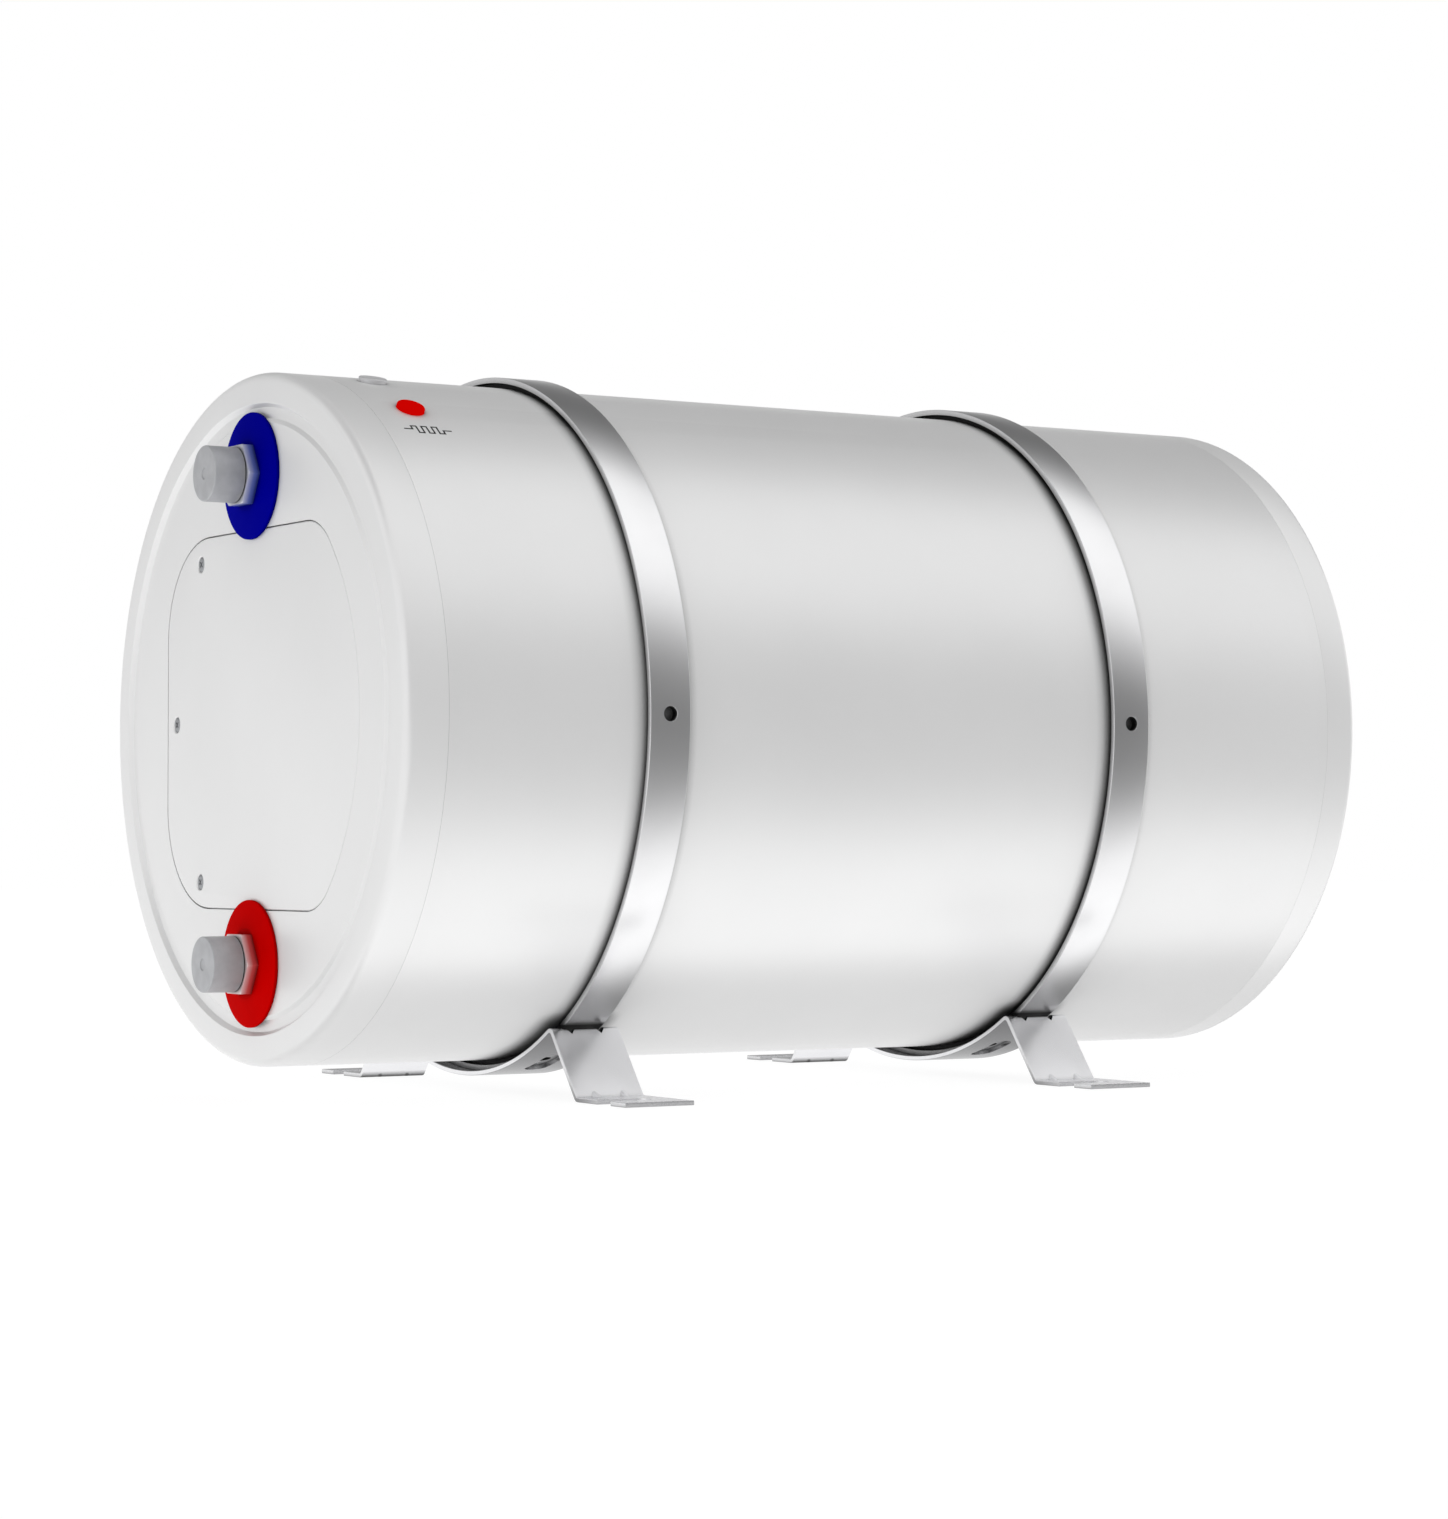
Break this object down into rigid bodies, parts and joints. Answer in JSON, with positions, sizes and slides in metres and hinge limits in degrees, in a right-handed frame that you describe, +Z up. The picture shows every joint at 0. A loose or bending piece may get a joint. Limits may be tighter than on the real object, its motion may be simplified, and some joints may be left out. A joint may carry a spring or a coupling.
{
  "type": "caravan water heater",
  "caption": "White lying round caravan water heater with colour-coded water ports, stainless straps and slotted feet",
  "frame": {"origin": "centre of the pattern of the four foot slots, on the plane under the feet", "axes": "+X along the tank away from the water ports, +Y away from the pictured side, +Z up"},
  "size_m": [0.5151, 0.3094, 0.3177],
  "materials": {
    "white_steel": "semi-gloss",
    "white_plastic": "semi-gloss",
    "white_nut": "satin",
    "blue_plastic": "satin",
    "red_plastic": "satin",
    "grey_plastic": "satin",
    "red_lens": "lit",
    "stainless_band": "bright brushed",
    "stainless_sheet": "pickled",
    "rubber": "matte",
    "stainless_tank": "matte",
    "nipple_steel": "machined",
    "screw_steel": "zinc plated",
    "foam": "foamed",
    "copper_element": "tarnished",
    "anode_metal": "cast",
    "black_plastic": "moulded",
    "cream_plastic": "moulded",
    "lead_cover": "extruded"
  },
  "bodies": {
    "heater": {"outer_shell": "white_steel", "front_cap": "white_plastic", "rear_cap": "white_plastic", "service_cover": "white_plastic", "cold_nut": "white_nut", "hot_nut": "white_nut", "cold_washer": "blue_plastic", "hot_washer": "red_plastic", "lamp_lens": "red_lens", "front_strap": "stainless_band", "rear_strap": "stainless_band", "front_saddle": "stainless_sheet", "rear_saddle": "stainless_sheet", "terminal_bracket": "stainless_sheet", "front_liner": "rubber", "rear_liner": "rubber", "cover_gasket": "rubber", "element_gasket": "rubber", "tank_shell": "stainless_tank", "tank_front_head": "stainless_tank", "tank_rear_head": "stainless_tank", "element_flange": "stainless_tank", "thermowell": "stainless_tank", "cold_dip_pipe": "stainless_tank", "hot_pickup_pipe": "stainless_tank", "cold_nipple": "nipple_steel", "hot_nipple": "nipple_steel", "cover_screws": "screw_steel", "flange_bolts": "screw_steel", "button_spring": "screw_steel", "insulation_front": "foam", "insulation_sleeve": "foam", "insulation_rear": "foam", "heating_element": "copper_element", "anode_rod": "anode_metal", "button_housing": "black_plastic", "lamp_holder": "black_plastic", "safety_cutout": "black_plastic", "cable_gland": "black_plastic", "gland_locknut": "black_plastic", "thermostat_body": "cream_plastic", "terminal_block": "cream_plastic", "leads": "lead_cover"},
    "cold_cap": {"cold_cap": "grey_plastic"},
    "hot_cap": {"hot_cap": "grey_plastic"},
    "button": {"power_button": "white_plastic"},
    "dial": {"thermostat_dial": "black_plastic"},
    "reset": {"reset_button": "red_plastic"}
  },
  "joints": [
    {"name": "cold_cap_pull", "type": "slide", "parent": "heater", "child": "cold_cap", "axis": [-1, 0, 0], "range_m": [0, 0.03]},
    {"name": "hot_cap_pull", "type": "slide", "parent": "heater", "child": "hot_cap", "axis": [-1, 0, 0], "range_m": [0, 0.03]},
    {"name": "power_button_press", "type": "slide", "parent": "heater", "child": "button", "axis": [0, 0.2639, -0.9646], "range_m": [0, 0.0015], "stiffness_N_per_m": 600, "deforming": ["button_spring"]},
    {"name": "thermostat_dial_turn", "type": "hinge", "parent": "heater", "child": "dial", "pos_m": [-0.2149, 0, 0.183], "axis": [-1, 0, 0], "range_deg": [0, 270]},
    {"name": "reset_button_press", "type": "slide", "parent": "heater", "child": "reset", "axis": [1, 0, 0], "range_m": [0, 0.0012], "stiffness_N_per_m": 500}
  ]
}
